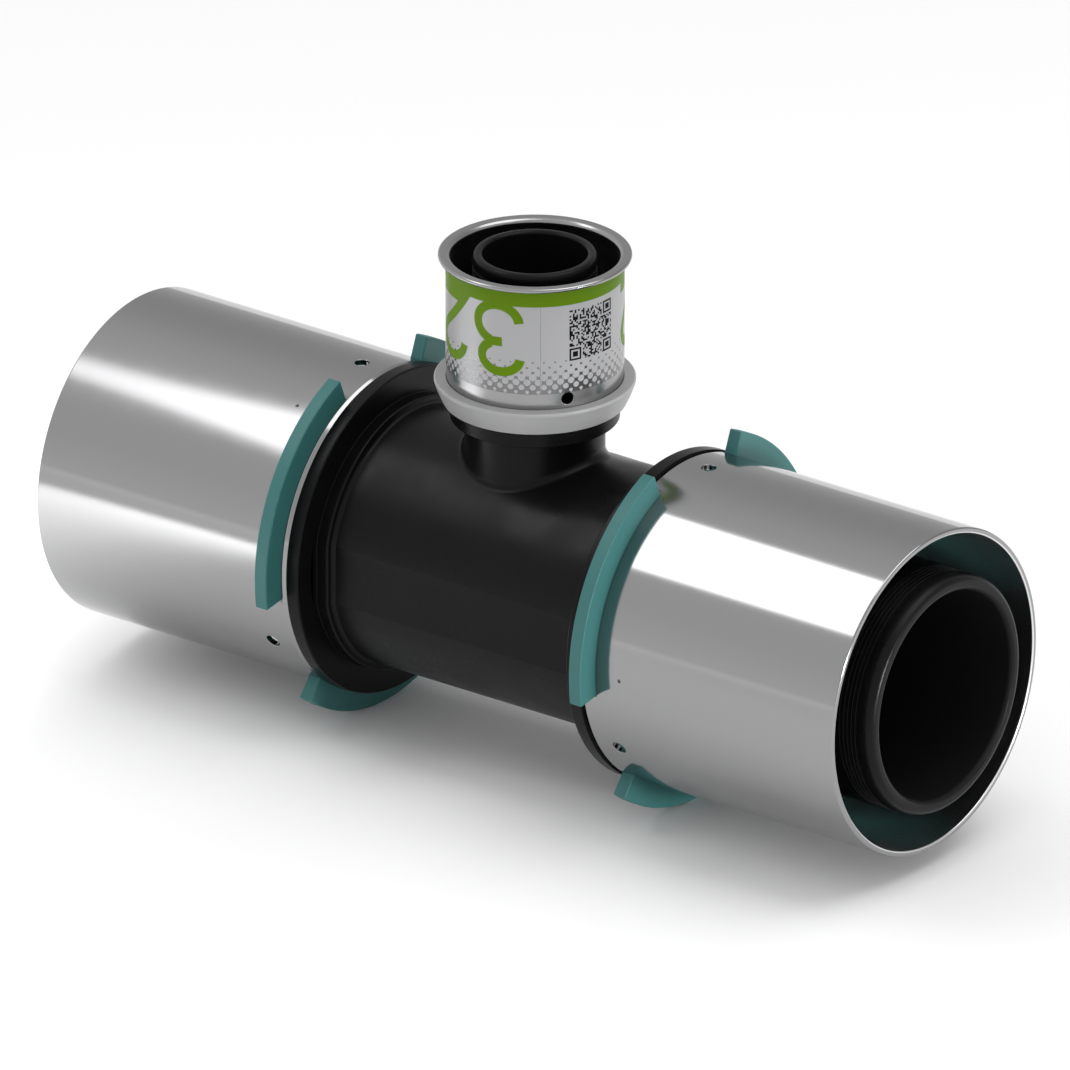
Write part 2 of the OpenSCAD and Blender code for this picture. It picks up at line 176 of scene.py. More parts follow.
def spot(name, place, aim, cone, energy, size):
    """A round lamp at a place that shines towards its aim, with a soft edge to its cone."""
    lamp = bpy.data.lights.new(name, "SPOT")
    lamp.energy, lamp.shadow_soft_size = energy, size
    lamp.spot_size, lamp.spot_blend = np.radians(cone), 1.0
    away = np.subtract(place, aim)
    away /= np.linalg.norm(away)
    side = np.cross([0, 0, 1.0], away)
    side /= np.linalg.norm(side)
    holder = bpy.data.objects.new(name, lamp)
    scene.collection.objects.link(holder)
    holder.matrix_world = standing(side, np.cross(away, side), away, place)


# One low lamp makes a pool on the floor outside the picture, which the left sleeve mirrors, and
# one at the end of the run lights the right sides of the lugs and the inside of the right sleeve
spot("pool_lamp", place=(-0.23, -0.8, 0.16), aim=(-0.17, -0.145, -0.039), cone=11, energy=120.0, size=0.02)
spot("end_lamp", place=(0.75, -0.02, 0.01), aim=(0.0, 0.0, 0.0), cone=12, energy=18.0, size=0.03)

# Tee body.
# One moulding of black glass-filled plastic: a barrel with a flat band on its front, a shoulder
# and a flange at each side, and three ribbed inserts that the pipes slide over. The branch grows
# from the barrel through a fillet of 2 mm.
barrel_r, band_depth, shoulder_in, shoulder_r = 27.3, 0.737, 31.3, 28.8
barrel_in = shoulder_in - 1.0
flange_in, flange_out, flange_r, flange_root_r = 34.1, 37.1, 34.4, 30.0
hoop_seat_in, hoop_seat_out, hoop_seat_r = 38.2, 41.8, 29.25
bead_out, bead_r, stop_r = 42.4, 30.25, 29.75
run_seat_r, run_stop, run_nose_in, run_tip = 32.85, 43.0, 101.2, 104.3
run_insert_r, run_bore_r = 25.2, 21.9
run_groove_r, run_groove, run_rings_at = 23.15, 2.6, (69.2, 85.2)
neck_r, neck_fillet, collar_fillet, collar_foot, collar_top = 14.25, 2.0, 1.2, 34.2, 38.0
collar_r, branch_seat_r = 17.2, 16.93
foot_groove_in, foot_groove_out, foot_groove_r = 38.5, 39.6, 16.13
branch_root, branch_stop, branch_nose_in, branch_tip = 30.0, 43.6, 68.2, 70.0
branch_insert_r, branch_bore_r = 12.7, 10.6
branch_groove_r, branch_groove, branch_rings_at = 11.55, 1.7, (55.0, 62.0)
rib_pitch, rib_groove = 1.0, 0.5

# Along, start and quarter-turn directions of what is round about the run, and about the branch
right_run = np.array([[1, 0, 0], [0, 0, 1], [0, -1, 0]], float)
left_run = np.array([[-1, 0, 0], [0, 0, 1], [0, -1, 0]], float)
branch = np.array([[0, 0, 1], [0, -1, 0], [1, 0, 0]], float)


def unit(v):
    """Vectors divided by their lengths."""
    return v / np.maximum(np.linalg.norm(v, axis=-1, keepdims=True), 1e-12)


def rounded_line(corners, closed=False, steps=4):
    """Outline through corners of place, radius and rounding. Each corner is cut back by its
    rounding times the tangent of half its turn, and the arc between is filled in steps. The
    normal lies to the left of the way that the outline runs. Gives points and normals."""
    corners = np.array(corners, float)
    p, size = corners[:, :2], corners[:, 2]
    before, after = p - np.roll(p, 1, 0), np.roll(p, -1, 0) - p
    if not closed:
        before[0], after[-1] = after[0], before[-1]
    u, v = unit(before), unit(after)
    bend = np.arctan2(u[:, 0] * v[:, 1] - u[:, 1] * v[:, 0], (u * v).sum(1))
    left = np.stack([-u[:, 1], u[:, 0]], 1)
    side = np.sign(bend)[:, None]
    centre = p - u * (size * np.tan(abs(bend) / 2))[:, None] + left * size[:, None] * side
    a = bend[:, None] * np.linspace(0, 1, steps + 1)
    c, s = np.cos(a), np.sin(a)
    n = np.stack([left[:, :1] * c - left[:, 1:] * s, left[:, :1] * s + left[:, 1:] * c], 2)
    points = centre[:, None] - n * (size[:, None] * side)[:, None]
    points, n = points.reshape(-1, 2), n.reshape(-1, 2)
    new = np.linalg.norm(np.diff(points, axis=0, prepend=points[:1] - 1), axis=1) > 1e-6
    points, n = points[new], n[new]
    if closed:
        points, n = np.vstack([points, points[:1]]), np.vstack([n, n[:1]])
    return points, n


def bent_line(a, corner, b, steps=8):
    """The curve that leaves a towards corner and arrives at b, a (1-u)^2 + 2 corner u (1-u) + b u^2,
    with its normal to the left."""
    a, corner, b = (np.array(v, float) for v in (a, corner, b))
    u = np.linspace(0, 1, steps + 1)[:, None]
    points = a * (1 - u) ** 2 + 2 * corner * u * (1 - u) + b * u**2
    along = unit((corner - a) * (1 - u) + (b - corner) * u)
    return points, np.stack([-along[:, 1], along[:, 0]], 1)


def joined(*lines):
    """Outlines set end to end."""
    return np.vstack([line[0] for line in lines]), np.vstack([line[1] for line in lines])


def about(axis, place, radius, turns, normal):
    """Points at a place along an axis, a radius and a turn round it in degrees, with normals given
    as their parts along the axis, outward and round it: place A + radius (B cos t + C sin t).
    Rows, columns and single numbers are spread over one grid."""
    place, radius, turns = (v[..., None] for v in np.broadcast_arrays(place, radius, turns))
    t = np.radians(turns)
    out = axis[1] * np.cos(t) + axis[2] * np.sin(t)
    round_it = axis[2] * np.cos(t) - axis[1] * np.sin(t)
    na, nr, nt = (np.broadcast_to(v, t.shape[:-1])[..., None] for v in normal)
    return place * axis[0] + radius * out, unit(na * axis[0] + nr * out + nt * round_it)


def turned(axis, line, turns):
    """An outline carried round an axis through the given turns."""
    place, radius, along, outward = (v[:, None] for v in (*line[0].T, *line[1].T))
    return about(axis, place, radius, turns, (along, outward, 0))


def make_piece(name, sheets, material, nodes):
    """Joins sheets, which are grids of points in millimetres with a normal at each, into one mesh.
    Points that fall together are merged, each face is turned to agree with its normals, and the
    worked-out normals are kept at its corners."""
    cells_per_metre, off_grid = 4e5, 0.371
    points = np.vstack([p.reshape(-1, 3) for p, _ in sheets]) * mm
    normals = np.vstack([n.reshape(-1, 3) for _, n in sheets])
    quads, start = [], 0
    for p, _ in sheets:
        rows, columns = p.shape[:2]
        i = start + np.arange(rows * columns).reshape(rows, columns)
        quads.append(np.stack([i[:-1, :-1], i[:-1, 1:], i[1:, 1:], i[1:, :-1]], 2).reshape(-1, 4))
        start += rows * columns
    quads = np.vstack(quads)
    corner = points[quads]
    facing = np.cross(corner[:, 2] - corner[:, 0], corner[:, 3] - corner[:, 1])
    wrong = (facing * normals[quads].sum(1)).sum(1) < 0
    quads[wrong] = quads[wrong][:, ::-1]
    cells = np.floor(points * cells_per_metre + off_grid).astype(np.int64)
    _, first, same = np.unique(cells, axis=0, return_index=True, return_inverse=True)
    merged = same.reshape(-1)[quads]
    keep = merged != np.roll(merged, 1, axis=1)
    keep[keep.sum(1) < 3] = False
    totals = keep.sum(1)
    totals = totals[totals > 0]
    mesh = bpy.data.meshes.new(name)
    mesh.vertices.add(len(first))
    mesh.vertices.foreach_set("co", points[first].ravel())
    mesh.loops.add(int(totals.sum()))
    mesh.loops.foreach_set("vertex_index", merged[keep])
    mesh.polygons.add(len(totals))
    mesh.polygons.foreach_set("loop_start", np.concatenate([[0], np.cumsum(totals)[:-1]]))
    mesh.polygons.foreach_set("loop_total", totals)
    mesh.polygons.foreach_set("use_smooth", np.ones(len(totals), bool))
    mesh.update(calc_edges=True)
    mesh.normals_split_custom_set(normals[quads[keep]])
    mesh.materials.append(material)
    piece = bpy.data.objects.new(name, mesh)
    scene.collection.objects.link(piece)
    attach(piece, "root")
    if nodes:
        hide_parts(*nodes)


def insert_line(insert_r, bore_r, stop, nose_in, tip, groove_r, groove, rings_at, inner):
    """Outline of an insert from its root to its nose and back down its bore, with a groove at each
    O-ring and five square grooves behind the nose."""
    cuts = [(z - groove / 2, z + groove / 2, groove_r) for z in rings_at]
    for k in (5, 4, 3, 2, 1):
        rib = nose_in - k * rib_pitch
        cuts.append((rib, rib + rib_groove, insert_r - rib_groove))
    corners = [(stop, insert_r, 0)]
    for z0, z1, r in cuts:
        corners += [(z0, insert_r, 0.2), (z0, r, 0.1), (z1, r, 0.1), (z1, insert_r, 0.2)]
    corners.append((nose_in, insert_r, 0))
    wall = insert_r - bore_r
    middle_r = insert_r - wall * 0.5
    nose = bent_line((nose_in, insert_r), (tip, insert_r), (tip, middle_r), 14)
    end = rounded_line([(tip, middle_r, 0), (tip, bore_r, wall * 0.33), (inner, bore_r, 0)], steps=8)
    return joined(rounded_line(corners, steps=2), nose, end)


# Lines round the barrel: top, the flat band, and the bottom. The band's edge moves with the
# radius, because the band is a chord: cosine of its half angle = distance / radius.
top_share = np.linspace(-1, 1, 73)
band_share = np.linspace(-1, 1, 9)
foot_share = np.linspace(0, 1, 85)
along_barrel = np.linspace(-barrel_in, barrel_in, 25)
band_edge = np.degrees(np.arccos((barrel_r - band_depth) / barrel_r))


def barrel_sheets(axis):
    """Barrel fillet, shoulder, flange, seat and insert of one side, as a top, a band and a foot.
    The band's points lie at its distance / cosine of the turn from its middle."""
    shoulder = rounded_line([
        (barrel_in, barrel_r, 0), (shoulder_in, barrel_r, 1.0), (shoulder_in, shoulder_r, 0.5),
        (flange_in, shoulder_r, 0.15), (flange_in, flange_root_r, 0),
    ])
    seat = rounded_line([
        (flange_in, flange_root_r, 0), (flange_in, flange_r, 0.4), (flange_out, flange_r, 0.15),
        (flange_out, run_seat_r, 0.05), (hoop_seat_in, run_seat_r, 0.1), (hoop_seat_in, hoop_seat_r, 0.15),
        (hoop_seat_out, hoop_seat_r, 0.1), (hoop_seat_out, bead_r, 0.2), (bead_out, bead_r, 0.15),
        (run_stop, stop_r, 0.15), (run_stop, run_insert_r, 0.3), (run_stop + 1, run_insert_r, 0),
    ])
    insert = insert_line(
        run_insert_r, run_bore_r, run_stop + 1, run_nose_in, run_tip,
        run_groove_r, run_groove, run_rings_at, barrel_in,
    )
    place, radius, along, outward = (v[:, None] for v in (*shoulder[0].T, *shoulder[1].T))
    edge = np.degrees(np.arccos((radius - band_depth) / radius))
    top, band, foot = top_share * (90 - edge), 90 + band_share * edge, 90 + edge + foot_share * 180
    sheets = []
    for turns in (top, band, foot):
        if turns is band:
            from_axis = (radius - band_depth) / np.cos(np.radians(turns - 90))
            points, _ = about(axis, place, from_axis, turns, (along, outward, 0))
            flat = unit(along[..., None] * axis[0] + outward[..., None] * axis[2])
            sheets.append((points, np.broadcast_to(flat, points.shape)))
        else:
            sheets.append(about(axis, place, radius, turns, (along, outward, 0)))
        sheets.append(turned(axis, joined(seat, insert), turns[-1]))
    return sheets


def once_round(a, b):
    """Once round the rectangle that the values a and b span: along a, along b, and back again."""
    one = np.concatenate([a, np.full(len(b) - 2, a[-1]), a[::-1], np.full(len(b) - 2, a[0]), a[:1]])
    other = np.concatenate([np.full(len(a), b[0]), b[1:-1], np.full(len(a), b[-1]), b[::-1][1:-1], b[:1]])
    return one, other


def saddle_hole(radius, hole, outward):
    """The round part of a tube along X from a rectangle of its top to the curve hole, which is a
    ring of points on it. Between them the place and turn change evenly."""
    rows = 14
    x, turn_at = once_round(along_barrel, top_share * (90 - band_edge))
    bearing = np.arctan2(-np.radians(turn_at) * radius, x)
    hx, hy, hz = hole(bearing)
    h_turn = np.degrees(np.arctan2(-hy, hz))
    share = np.linspace(0, 1, rows)[:, None] ** 1.3
    place, turns = hx + (x - hx) * share, h_turn + (turn_at - h_turn) * share
    return about(right_run, place, radius, turns, (0, outward, 0)), bearing


def ball_centre(t):
    """Centre of the ball that rolls round the neck and touches barrel and neck, at bearing t:
    height = sqrt(R^2 - (r sin t)^2), where R and r are to the ball's centre."""
    out, high = neck_r + neck_fillet, barrel_r + neck_fillet
    return out * np.cos(t), out * np.sin(t), np.sqrt(high**2 - (out * np.sin(t)) ** 2)


def barrel_contact(t):
    """Where the rolling ball touches the barrel: its centre drawn back towards the run axis."""
    x, y, z = ball_centre(t)
    k = barrel_r / (barrel_r + neck_fillet)
    return x, y * k, z * k


def bore_curve(t):
    """Where the branch bore breaks into the run bore: height = sqrt(R^2 - (r sin t)^2)."""
    x, y = branch_bore_r * np.cos(t), branch_bore_r * np.sin(t)
    return x, y, np.sqrt(run_bore_r**2 - y**2)


def straight_strip(radius, turns, outward):
    """A strip of the barrel or the bore between its two sides, straight along X."""
    return about(right_run, along_barrel[:, None], radius, turns, (0, outward, 0))


band_turns, foot_turns = 90 + band_share * band_edge, 90 + band_edge + foot_share * 180
band_radius = (barrel_r - band_depth) / np.cos(np.radians(band_turns - 90))
band_points, _ = straight_strip(band_radius, band_turns, 1)
outer_saddle, bearing = saddle_hole(barrel_r, barrel_contact, 1)
inner_saddle, _ = saddle_hole(run_bore_r, bore_curve, -1)
body_sheets = barrel_sheets(right_run) + barrel_sheets(left_run) + [
    (band_points, np.broadcast_to([0.0, -1.0, 0.0], band_points.shape)),
    straight_strip(barrel_r, foot_turns, 1),
    straight_strip(run_bore_r, band_turns, -1),
    straight_strip(run_bore_r, foot_turns, -1),
    outer_saddle,
    inner_saddle,
]

# The saddle fillet: arcs about the ball's centre from the barrel's contact to the neck's
ball = np.stack(ball_centre(bearing), 1)
from_branch = np.stack([np.cos(bearing), np.sin(bearing), 0 * bearing], 1)
to_barrel = unit(-ball * [0, 1, 1])
opening = np.arccos((-from_branch * to_barrel).sum(1))[:, None]
share = np.linspace(0, 1, 9)[:, None, None]
towards = np.sin((1 - share) * opening) * to_barrel - np.sin(share * opening) * from_branch
towards = towards / np.sin(opening)
body_sheets.append((ball + neck_fillet * towards, -towards))


def branch_circle(radius, height):
    """A circle round the branch with its points at the saddle's bearings."""
    return np.stack([radius * np.cos(bearing), radius * np.sin(bearing), np.full(len(bearing), height)], 1)


def upright(foot, top, side):
    """An upright wall between two circles, which faces away from the branch's axis or towards it."""
    return np.stack([foot, top]), np.broadcast_to(side * from_branch, (2, *from_branch.shape))


# Neck, collar, seat and branch insert, round the branch at the same bearings
neck_top = branch_circle(neck_r, collar_foot - collar_fillet)
body_sheets.append(upright(ball - neck_fillet * from_branch, neck_top, 1))
collar = rounded_line([
    (collar_foot - collar_fillet, neck_r, 0), (collar_foot, neck_r, collar_fillet),
    (collar_foot, collar_r, 0.3), (collar_top, collar_r, 0.1), (collar_top, branch_seat_r, 0.05),
    (foot_groove_in, branch_seat_r, 0.05), (foot_groove_in, foot_groove_r, 0.1),
    (foot_groove_out, foot_groove_r, 0.1), (foot_groove_out, branch_seat_r, 0.1),
    (branch_stop, branch_seat_r, 0.15), (branch_stop, branch_insert_r, 0.2),
    (branch_stop + 1, branch_insert_r, 0),
])
branch_insert = insert_line(
    branch_insert_r, branch_bore_r, branch_stop + 1, branch_nose_in, branch_tip,
    branch_groove_r, branch_groove, branch_rings_at, branch_root,
)
body_sheets.append(turned(branch, joined(collar, branch_insert), 90 + np.degrees(bearing)))
bore_end = branch_circle(branch_bore_r, branch_root)
body_sheets.append(upright(bore_end, np.stack(bore_curve(bearing), 1), -1))


def grained(tree, shader, pitch, low, high, height, stretch=(1, 1, 1)):
    """Surface detail in object coordinates. Noise of the given pitch in millimetres, longer by the
    stretch along each axis, lifts the surface by the height. Noise forty times as coarse moves the
    roughness between low and high."""
    scaled = tree.nodes.new("ShaderNodeVectorMath")
    scaled.operation = "DIVIDE"
    scaled.inputs[1].default_value = [pitch * mm * v for v in stretch]
    tree.links.new(tree.nodes.new("ShaderNodeTexCoord").outputs["Object"], scaled.inputs[0])
    noises = []
    for scale, detail in ((1.0, 3.0), (1 / 40, 4.0)):
        noise = tree.nodes.new("ShaderNodeTexNoise")
        noise.inputs["Scale"].default_value, noise.inputs["Detail"].default_value = scale, detail
        tree.links.new(scaled.outputs[0], noise.inputs["Vector"])
        noises.append(noise.outputs[0])
    bump = tree.nodes.new("ShaderNodeBump")
    bump.inputs["Distance"].default_value = height * mm
    tree.links.new(noises[0], bump.inputs["Height"])
    tree.links.new(bump.outputs["Normal"], shader.inputs["Normal"])
    varied = ranged(tree, noises[1], 0.3, 0.7, low, high)
    tree.links.new(varied, shader.inputs["Roughness"])
    return varied


def within_radius(tree, radius):
    """One where the distance to the run axis is less than the radius in millimetres, else zero."""
    _, y, z = split(tree, tree.nodes.new("ShaderNodeTexCoord").outputs["Object"])
    squares = maths(tree, "MULTIPLY", y, y), maths(tree, "MULTIPLY", z, z)
    return maths(tree, "LESS_THAN", maths(tree, "ADD", *squares), (radius * mm) ** 2)


# The run bore is duller than the outside
black_plastic, tree, shader = studio_material(
    "black_plastic", 0.3, Specular_IOR_Level=0.13, Base_Color=(0.004, 0.004, 0.0045, 1)
)
varied = grained(tree, shader, pitch=0.3, low=0.25, high=0.36, height=0.0006)
duller = maths(tree, "MULTIPLY_ADD", within_radius(tree, run_bore_r + 0.6), 0.35, varied)
tree.links.new(duller, shader.inputs["Roughness"])
make_piece("tee_body_moulding", body_sheets, black_plastic, ["tee_body"])

# Run press sleeves.
# A drawn tube of polished stainless steel over each run insert, pierced by three windows for
# the stop ring's lugs and three sight holes, with three small punch marks beside them.
sleeve_r, sleeve_in_r, sleeve_heel, sleeve_mouth = 34.2, 32.95, 37.1, 101.2
wall_from, wall_to, heel_r, heel_to = 37.2, 100.8, 33.55, 38.25
lug_middles, lug_half, window_play = (60, 180, 300), 38.5, 0.168
window_in, window_out, window_half = 38.4, 41.6, lug_half + window_play
sight_in, sight_out, sight_half, sight_r = 41.6, 46.6, 2.5, 1.55
punch_in, punch_out, punch_half, punch_r, punch_depth = 46.6, 48.4, 0.9, 0.4, 0.4


def divided(edges, pitch):
    """The edges in order, with each space between them divided evenly at about the pitch."""
    edges = np.unique(np.round(edges, 6))
    spaces = [
        np.linspace(a, b, max(1, int(np.ceil((b - a) / pitch))), endpoint=False)
        for a, b in zip(edges, edges[1:])
    ]
    return np.round(np.concatenate([*spaces, edges[-1:]]), 6)


def between(values, low, high):
    """The values that run from low to high, both included."""
    return values[(values >= low - 1e-6) & (values <= high + 1e-6)]


def tube_wall(axis, places, turns, radius, outward, gaps):
    """A tube's wall on a grid of places and turns, cut into sheets that leave out the gaps, which
    are rectangles of place and turn."""
    sheets = []
    marks = np.unique(np.concatenate([[places[0], places[-1]], *[[g[0], g[1]] for g in gaps]]))
    for a, b in zip(marks, marks[1:]):
        z = between(places, a, b)[:, None]
        inside = sorted([g[2], g[3]] for g in gaps if g[0] < (a + b) / 2 < g[1])
        stops = [turns[0], *[v for pair in inside for v in pair], turns[-1]]
        for t0, t1 in zip(stops[::2], stops[1::2]):
            sheets.append(about(axis, z, radius, between(turns, t0, t1), (0, outward, 0)))
    return sheets


def drilled_hole(axis, gap, places, turns, hole_r, r_out, r_in, edge=0.12, depth=None):
    """A round hole in the middle of a gap of a tube: rows that run from the gap's rectangle to the
    circle, over a rounded edge and down the wall, to the inner wall's rectangle or to a flat
    bottom at the given depth."""
    turn_at, place = once_round(between(turns, gap[2], gap[3]), between(places, gap[0], gap[1]))
    z0, t0 = (gap[0] + gap[1]) / 2, (gap[2] + gap[3]) / 2
    angle = np.arctan2(place - z0, np.radians(turn_at - t0) * r_out)
    c, s = np.cos(angle), np.sin(angle)

    def rows(*steps):
        """Rows of points at steps of circle radius, tube radius, lean of the normal and share of the
        way back to the rim: turn = arcsine of the circle radius x cosine / the tube radius."""
        circle, r, lean, to_rim = np.array(steps, float).T[..., None]
        z = z0 + circle * s
        t = t0 + np.degrees(np.arcsin(circle * c / r))
        z, t = z + (place - z) * to_rim, t + (turn_at - t) * to_rim
        k = np.radians(lean)
        return about(axis, z, r, t, (-np.sin(k) * s, np.cos(k), -np.sin(k) * c))

    steps = [(hole_r + edge, r_out, 0, 1), (hole_r + edge, r_out, 0, 0.4)]
    for lean in (0, 30, 60, 90):
        a = np.radians(lean)
        steps.append((hole_r + edge * (1 - np.sin(a)), r_out - edge * (1 - np.cos(a)), lean, 0))
    if depth is not None:
        bottom_r = r_out - depth
        return [rows(*steps, (hole_r, bottom_r, 90, 0)), rows((hole_r, bottom_r, 0, 0), (0, bottom_r, 0, 0))]
    for lean in (90, 135, 180):
        a = np.radians(lean)
        steps.append((hole_r + edge * (1 - np.sin(a)), r_in + edge * (1 + np.cos(a)), lean, 0))
    return [rows(*steps, (hole_r + edge, r_in, 180, 1))]


def run_sleeve(axis, punch_turn):
    """Sheets of one run sleeve: outer and inner wall with their gaps, edges, window walls, holes
    and punch marks. Half the turn of a hole's gap = its half width / the sleeve's radius. The
    walls' grid starts at a turn that no gap crosses."""
    start = -20.0
    sight_middles, punch_middles = (0, 120, 240), (punch_turn, punch_turn + 120, punch_turn + 240)
    gaps = []
    for place_in, place_out, half, middles in (
        (window_in, window_out, window_half, lug_middles),
        (sight_in, sight_out, np.degrees(sight_half / sleeve_r), sight_middles),
        (punch_in, punch_out, np.degrees(punch_half / sleeve_r), punch_middles),
    ):
        for middle in middles:
            turn_from, turn_to = (middle - half - start) % 360 + start, (middle + half - start) % 360 + start
            gaps.append((place_in, place_out, turn_from, turn_to))
    at_windows = [gap[2:] for gap in gaps[:3]]
    at_sights = [np.linspace(gap[2], gap[3], 9) for gap in gaps[3:6]]
    at_punches = [np.linspace(gap[2], gap[3], 5) for gap in gaps[6:]]
    turns = divided(np.concatenate([[start, start + 360], *at_windows, *at_sights, *at_punches]), 2.4)
    along_sights, along_punches = np.linspace(sight_in, sight_out, 9), np.linspace(punch_in, punch_out, 5)
    places = divided(np.concatenate([[wall_from, window_in, wall_to], along_sights, along_punches]), 8.0)
    gaps = [tuple(np.round(gap, 6)) for gap in gaps]
    windows, sights, punches = gaps[:3], gaps[3:6], gaps[6:]
    sheets = tube_wall(axis, places[1:], turns, sleeve_r, 1, gaps)
    sheets += tube_wall(axis, places, turns, sleeve_in_r, -1, windows + sights)
    mouth = rounded_line([
        (wall_to, sleeve_r, 0), (sleeve_mouth, sleeve_r, 0.399), (sleeve_mouth, sleeve_in_r, 0.399),
        (wall_to, sleeve_in_r, 0),
    ], steps=6)
    heel = rounded_line([
        (wall_from, sleeve_in_r, 0), (sleeve_heel, sleeve_in_r, 0.09), (sleeve_heel, heel_r, 0.12),
        (heel_to, sleeve_r, 0.6), (window_in, sleeve_r, 0),
    ])
    sheets += [turned(axis, mouth, turns), turned(axis, heel, turns)]
    radii = np.array([[sleeve_r], [sleeve_in_r]])
    for place_in, place_out, turn_from, turn_to in windows:
        z, t = between(places, place_in, place_out), between(turns, turn_from, turn_to)
        sheets += [
            about(axis, place_in, radii, t, (1, 0, 0)),
            about(axis, place_out, radii, t, (-1, 0, 0)),
            about(axis, z, radii, turn_from, (0, 0, 1)),
            about(axis, z, radii, turn_to, (0, 0, -1)),
        ]
    for gap in sights:
        sheets += drilled_hole(axis, gap, places, turns, sight_r, sleeve_r, sleeve_in_r)
    for gap in punches:
        sheets += drilled_hole(axis, gap, places, turns, punch_r, sleeve_r, sleeve_in_r, 0.06, punch_depth)
    return sheets


def mixed_colour(tree, share, plain, full):
    """The plain colour where the share is nothing, and the full one where it is one."""
    node = tree.nodes.new("ShaderNodeMix")
    node.data_type = "RGBA"
    node.inputs[6].default_value, node.inputs[7].default_value = plain, full
    tree.links.new(share, node.inputs[0])
    return node.outputs[2]


# The inner wall is duller than the polished outside, and its colour is painted brighter to stand in for light
# in the deep, shaded sockets
steel_colour, painted_light_inner_colour = (0.33, 0.33, 0.334, 1), (0.75, 0.75, 0.75, 1)
press_steel, tree, shader = studio_material("press_steel", 0.1, Metallic=1.0, Base_Color=steel_colour)
varied = grained(tree, shader, pitch=0.12, low=0.115, high=0.125, height=0.0001, stretch=(1, 60, 60))
inner_wall = within_radius(tree, sleeve_in_r + 0.35)
tree.links.new(maths(tree, "MULTIPLY_ADD", inner_wall, 0.12, varied), shader.inputs["Roughness"])
# Painted light: the inner wall takes the brighter colour, so that the shaded sockets look lit
wall_colour = mixed_colour(tree, inner_wall, steel_colour, painted_light_inner_colour)
tree.links.new(wall_colour, shader.inputs["Base Color"])
for side, axis, punch_turn in (("right", right_run, 90), ("left", left_run, 30)):
    node = "run_sleeve_" + side
    make_piece(node + "_tube", run_sleeve(axis, punch_turn), press_steel, [node])

# Run stop rings.
# A moulded teal hoop in the groove behind each flange. Its three lugs come out through the
# sleeve's windows and show the press tool where to sit.
hoop_in, hoop_out, hoop_in_r, hoop_r = 38.3, 41.7, 29.35, 32.85
lug_in, lug_out, lug_root_r, lug_r, lug_end, lug_end_r = 38.5, 41.5, 32.4, 39.2, 0.28, 38.0


def swept(axis, line, turn_from, turn_to, end_round, reach):
    """A closed outline carried round an axis from one turn to another, with rounded ends: over the
    last of the way the outline is drawn in along its normals by end_round (1 - cos a) while it
    moves on by end_round sin a at the reach's radius, and then it closes on its middle."""
    points, normals = line
    a = np.radians(np.linspace(0, 90, 5))
    on = np.degrees(end_round / reach)
    count = max(2, int(abs(turn_to - turn_from) / 2.4))
    middle = np.linspace(turn_from + on, turn_to - on, count)
    first, last = turn_from + on - on * np.sin(a[:0:-1]), turn_to - on + on * np.sin(a[1:])
    turns = np.concatenate([first, middle, last])
    drawn = np.concatenate([1 - np.cos(a[:0:-1]), 0 * middle, 1 - np.cos(a[1:])]) * end_round
    lean = np.concatenate([-np.sin(a[:0:-1]), 0 * middle, np.sin(a[1:])])[:, None]
    flat = np.sqrt(1 - lean**2)
    moved = points - normals * drawn[:, None, None]
    parts = (normals[:, 0] * flat, normals[:, 1] * flat, lean)
    sheets = [about(axis, moved[..., 0], moved[..., 1], turns[:, None], parts)]
    for k, side in ((0, -1), (-1, 1)):
        ring = moved[k]
        both = np.stack([ring, np.broadcast_to(ring[:-1].mean(0), ring.shape)])
        sheets.append(about(axis, both[..., 0], both[..., 1], turns[k], (0, 0, side)))
    return sheets


def stop_ring(axis):
    """Sheets of one stop ring: a hoop, and three lugs rooted half a millimetre inside it."""
    hoop = rounded_line([
        (hoop_in, hoop_in_r, 0.15), (hoop_in, hoop_r, 0.15),
        (hoop_out, hoop_r, 0.15), (hoop_out, hoop_in_r, 0.15),
    ], closed=True)
    lug = rounded_line([
        (lug_in, lug_root_r, 0.05), (lug_in, lug_r, 0.3),
        (lug_out, lug_r, 0.3), (lug_out, lug_root_r, 0.05),
    ], closed=True)
    sheets = [turned(axis, hoop, np.linspace(0, 360, 151))]
    for middle in lug_middles:
        sheets += swept(axis, lug, middle - lug_half, middle + lug_half, lug_end, lug_end_r)
    return sheets


teal_plastic, tree, shader = studio_material(
    "teal_plastic", 0.42, Specular_IOR_Level=0.35, Base_Color=(0.036, 0.15, 0.145, 1)
)
grained(tree, shader, pitch=0.25, low=0.38, high=0.5, height=0.01)
for side, axis in (("right", right_run), ("left", left_run)):
    node = "run_stop_ring_" + side
    make_piece(node + "_moulding", stop_ring(axis), teal_plastic, [node])

# O-rings.
# Cord rings of black rubber, stretched into the grooves of the inserts by hand. Each stands a
# little proud of its groove and is shown at its squeezed size.
run_cord, run_cord_r, branch_cord, branch_cord_r = 2.2, 24.28, 1.3, 12.23
seal_rubber, tree, shader = studio_material("seal_rubber", 0.6, Base_Color=(0.008, 0.008, 0.008, 1))
grained(tree, shader, pitch=0.15, low=0.5, high=0.7, height=0.012)


def o_ring(axis, place, radius, cord):
    """A circle of the cord's thickness carried round the axis: place + c/2 sin a, radius + c/2 cos a."""
    a = np.linspace(0, 2 * np.pi, 17)
    normal = np.stack([np.sin(a), np.cos(a)], 1)
    return [turned(axis, ([place, radius] + normal * cord / 2, normal), np.linspace(0, 360, 121))]


